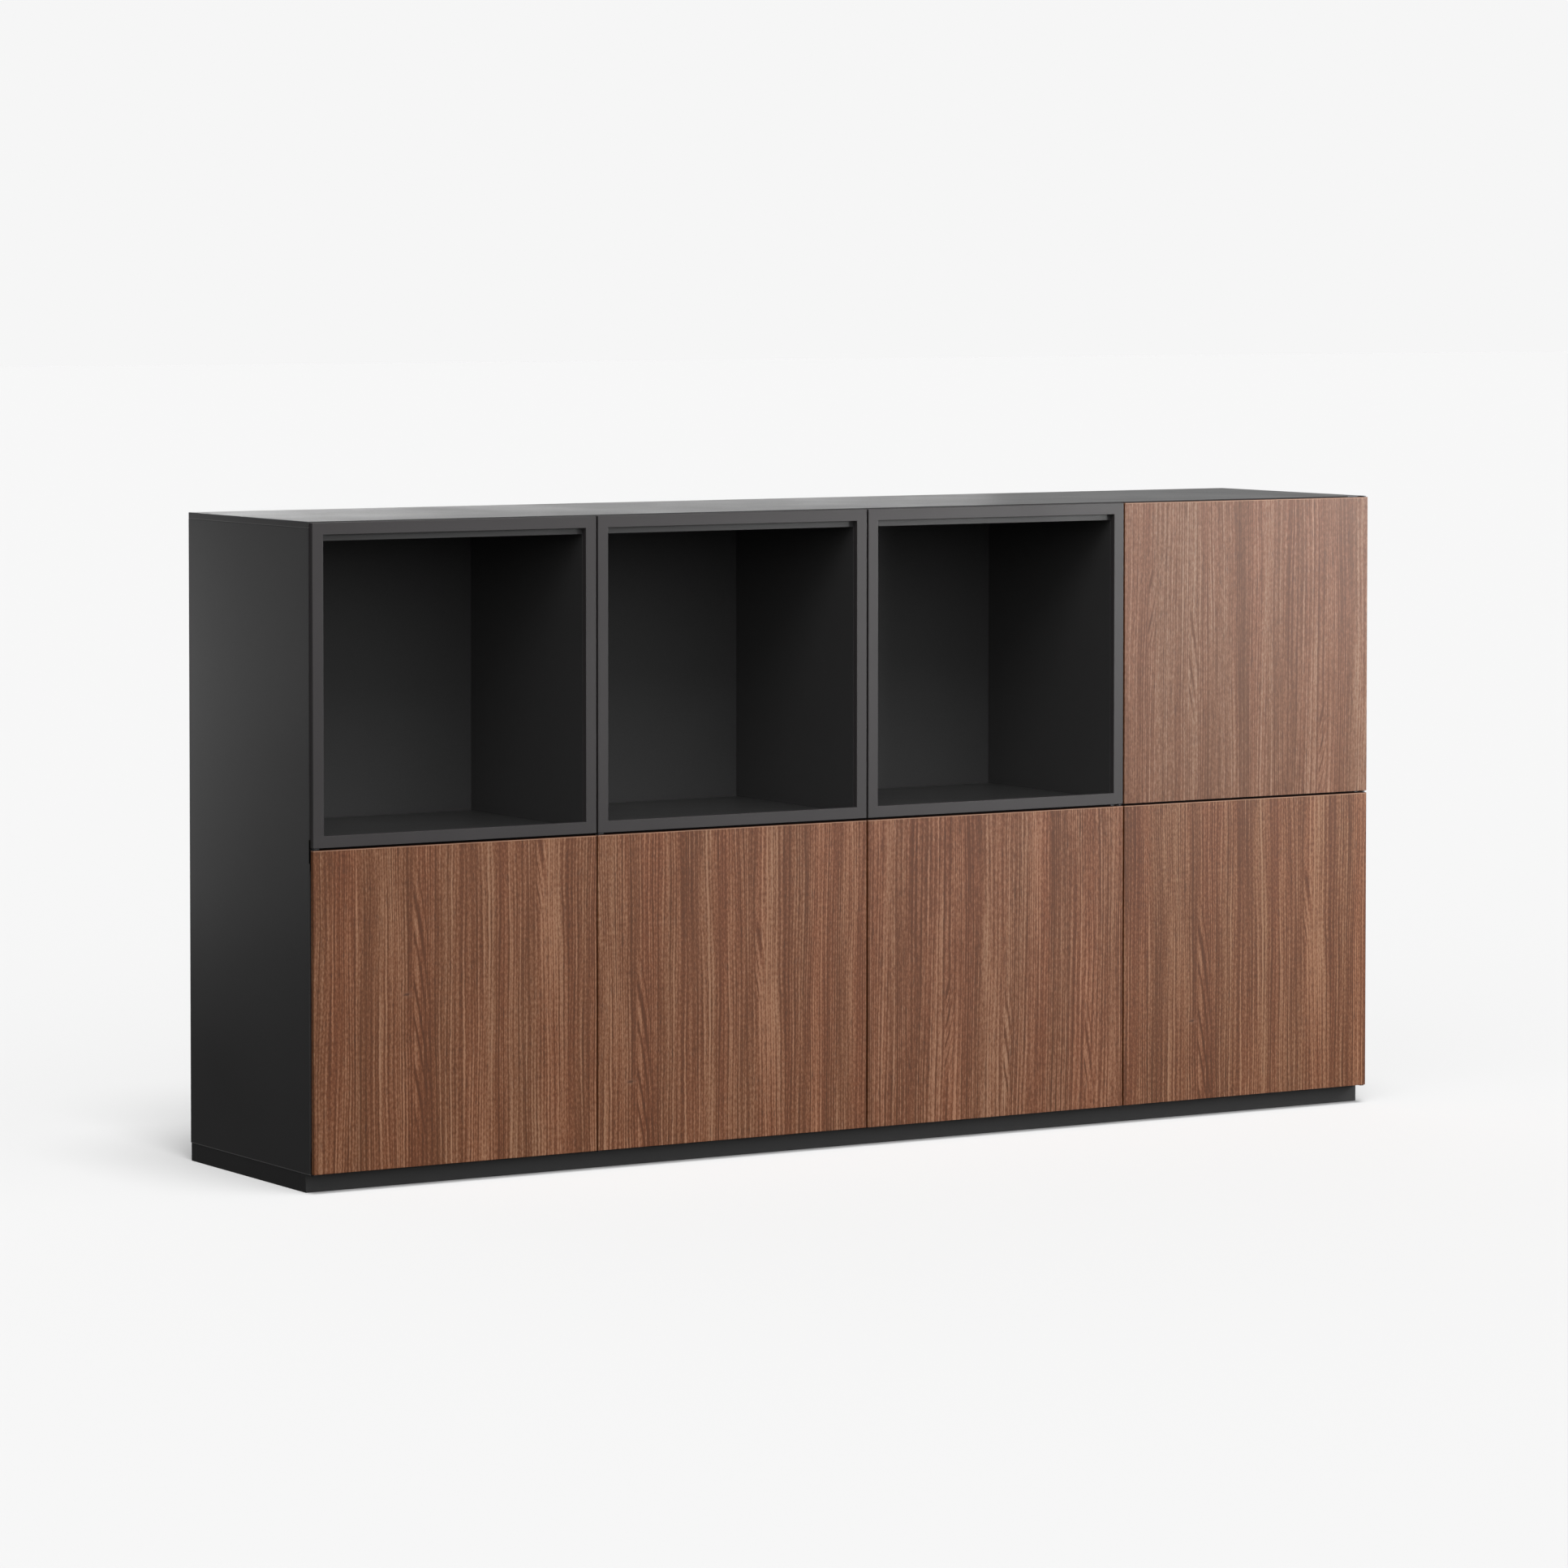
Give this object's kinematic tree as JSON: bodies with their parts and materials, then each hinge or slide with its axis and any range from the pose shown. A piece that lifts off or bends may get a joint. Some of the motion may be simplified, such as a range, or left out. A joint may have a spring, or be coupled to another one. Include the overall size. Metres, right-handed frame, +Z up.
{
  "type": "cube storage unit",
  "caption": "Low modular storage unit: open cubes with flush face frames above, walnut push-to-open doors below, charcoal carcass on a recessed plinth.",
  "frame": {"origin": "centre of the footprint, on the floor plane under the plinth", "axes": "+X runs along the row of cubes to the right as seen from the front, +Y points to the back and the wall, +Z is up; the fronts face -Y"},
  "size_m": [1.8, 0.38, 0.925],
  "materials": {
    "carcass_board": "fine-textured satin charcoal melamine board",
    "back_panel": "matt charcoal melamine back panel",
    "plinth_board": "matt charcoal board",
    "face_frame": "satin charcoal laminate, softened edges",
    "walnut_door": "satin walnut laminate with vertical grain",
    "hinge_steel": "zinc-plated pressed steel",
    "latch_plastic": "moulded black plastic",
    "plunger_plastic": "moulded black plastic with a soft tip"
  },
  "bodies": {
    "carcass": {"column_1_side_left": "carcass_board", "column_1_side_right": "carcass_board", "column_1_bottom": "carcass_board", "column_1_top": "carcass_board", "column_1_shelf": "carcass_board", "column_1_back": "back_panel", "column_2_side_left": "carcass_board", "column_2_side_right": "carcass_board", "column_2_bottom": "carcass_board", "column_2_top": "carcass_board", "column_2_shelf": "carcass_board", "column_2_back": "back_panel", "column_3_side_left": "carcass_board", "column_3_side_right": "carcass_board", "column_3_bottom": "carcass_board", "column_3_top": "carcass_board", "column_3_shelf": "carcass_board", "column_3_back": "back_panel", "column_4_side_left": "carcass_board", "column_4_side_right": "carcass_board", "column_4_bottom": "carcass_board", "column_4_top": "carcass_board", "column_4_shelf": "carcass_board", "column_4_back": "back_panel", "top_cover": "carcass_board", "plinth_front": "plinth_board", "plinth_back": "plinth_board", "plinth_left": "plinth_board", "plinth_right": "plinth_board", "plinth_brace": "plinth_board", "face_frame_1": "face_frame", "face_frame_2": "face_frame", "face_frame_3": "face_frame", "hinge_lower_1_bottom": "hinge_steel", "hinge_lower_2_bottom": "hinge_steel", "hinge_lower_3_bottom": "hinge_steel", "hinge_lower_4_bottom": "hinge_steel", "hinge_lower_1_top": "hinge_steel", "hinge_lower_2_top": "hinge_steel", "hinge_lower_3_top": "hinge_steel", "hinge_middle_4": "hinge_steel", "hinge_upper_4_top": "hinge_steel", "latch_housing_lower_1": "latch_plastic", "latch_housing_lower_2": "latch_plastic", "latch_housing_lower_3": "latch_plastic", "latch_housing_lower_4": "latch_plastic", "latch_housing_upper_4": "latch_plastic", "wall_bracket_left": "hinge_steel", "wall_bracket_right": "hinge_steel"},
    "door_lower_1": {"door_lower_1": "walnut_door"},
    "door_lower_2": {"door_lower_2": "walnut_door"},
    "door_lower_3": {"door_lower_3": "walnut_door"},
    "door_lower_4": {"door_lower_4": "walnut_door"},
    "door_upper_4": {"door_upper_4": "walnut_door"},
    "latch_plunger_lower_1": {"latch_plunger_lower_1": "plunger_plastic"},
    "latch_plunger_lower_2": {"latch_plunger_lower_2": "plunger_plastic"},
    "latch_plunger_lower_3": {"latch_plunger_lower_3": "plunger_plastic"},
    "latch_plunger_lower_4": {"latch_plunger_lower_4": "plunger_plastic"},
    "latch_plunger_upper_4": {"latch_plunger_upper_4": "plunger_plastic"}
  },
  "joints": [
    {"name": "door_lower_1_swing", "type": "hinge", "parent": "carcass", "child": "door_lower_1", "pos_m": [-0.895, -0.186, 0.0275], "axis": [0, 0, -1], "range_deg": [0, 100]},
    {"name": "door_lower_2_swing", "type": "hinge", "parent": "carcass", "child": "door_lower_2", "pos_m": [-0.445, -0.186, 0.0275], "axis": [0, 0, -1], "range_deg": [0, 100]},
    {"name": "door_lower_3_swing", "type": "hinge", "parent": "carcass", "child": "door_lower_3", "pos_m": [0.445, -0.186, 0.0275], "axis": [0, 0, 1], "range_deg": [0, 100]},
    {"name": "door_lower_4_swing", "type": "hinge", "parent": "carcass", "child": "door_lower_4", "pos_m": [0.895, -0.186, 0.0275], "axis": [0, 0, 1], "range_deg": [0, 100]},
    {"name": "door_upper_4_swing", "type": "hinge", "parent": "carcass", "child": "door_upper_4", "pos_m": [0.895, -0.186, 0.477], "axis": [0, 0, 1], "range_deg": [0, 100]},
    {"name": "latch_plunger_lower_1_slide", "type": "slide", "parent": "carcass", "child": "latch_plunger_lower_1", "axis": [0, -1, 0], "range_m": [0, 0.02]},
    {"name": "latch_plunger_lower_2_slide", "type": "slide", "parent": "carcass", "child": "latch_plunger_lower_2", "axis": [0, -1, 0], "range_m": [0, 0.02]},
    {"name": "latch_plunger_lower_3_slide", "type": "slide", "parent": "carcass", "child": "latch_plunger_lower_3", "axis": [0, -1, 0], "range_m": [0, 0.02]},
    {"name": "latch_plunger_lower_4_slide", "type": "slide", "parent": "carcass", "child": "latch_plunger_lower_4", "axis": [0, -1, 0], "range_m": [0, 0.02]},
    {"name": "latch_plunger_upper_4_slide", "type": "slide", "parent": "carcass", "child": "latch_plunger_upper_4", "axis": [0, -1, 0], "range_m": [0, 0.02]}
  ],
  "couplings": [
    {"joint": "latch_plunger_lower_1_slide", "follows": "door_lower_1_swing", "m_per_rad": 0.011448},
    {"joint": "latch_plunger_lower_2_slide", "follows": "door_lower_2_swing", "m_per_rad": 0.011448},
    {"joint": "latch_plunger_lower_3_slide", "follows": "door_lower_3_swing", "m_per_rad": 0.011448},
    {"joint": "latch_plunger_lower_4_slide", "follows": "door_lower_4_swing", "m_per_rad": 0.011448},
    {"joint": "latch_plunger_upper_4_slide", "follows": "door_upper_4_swing", "m_per_rad": 0.011448}
  ]
}
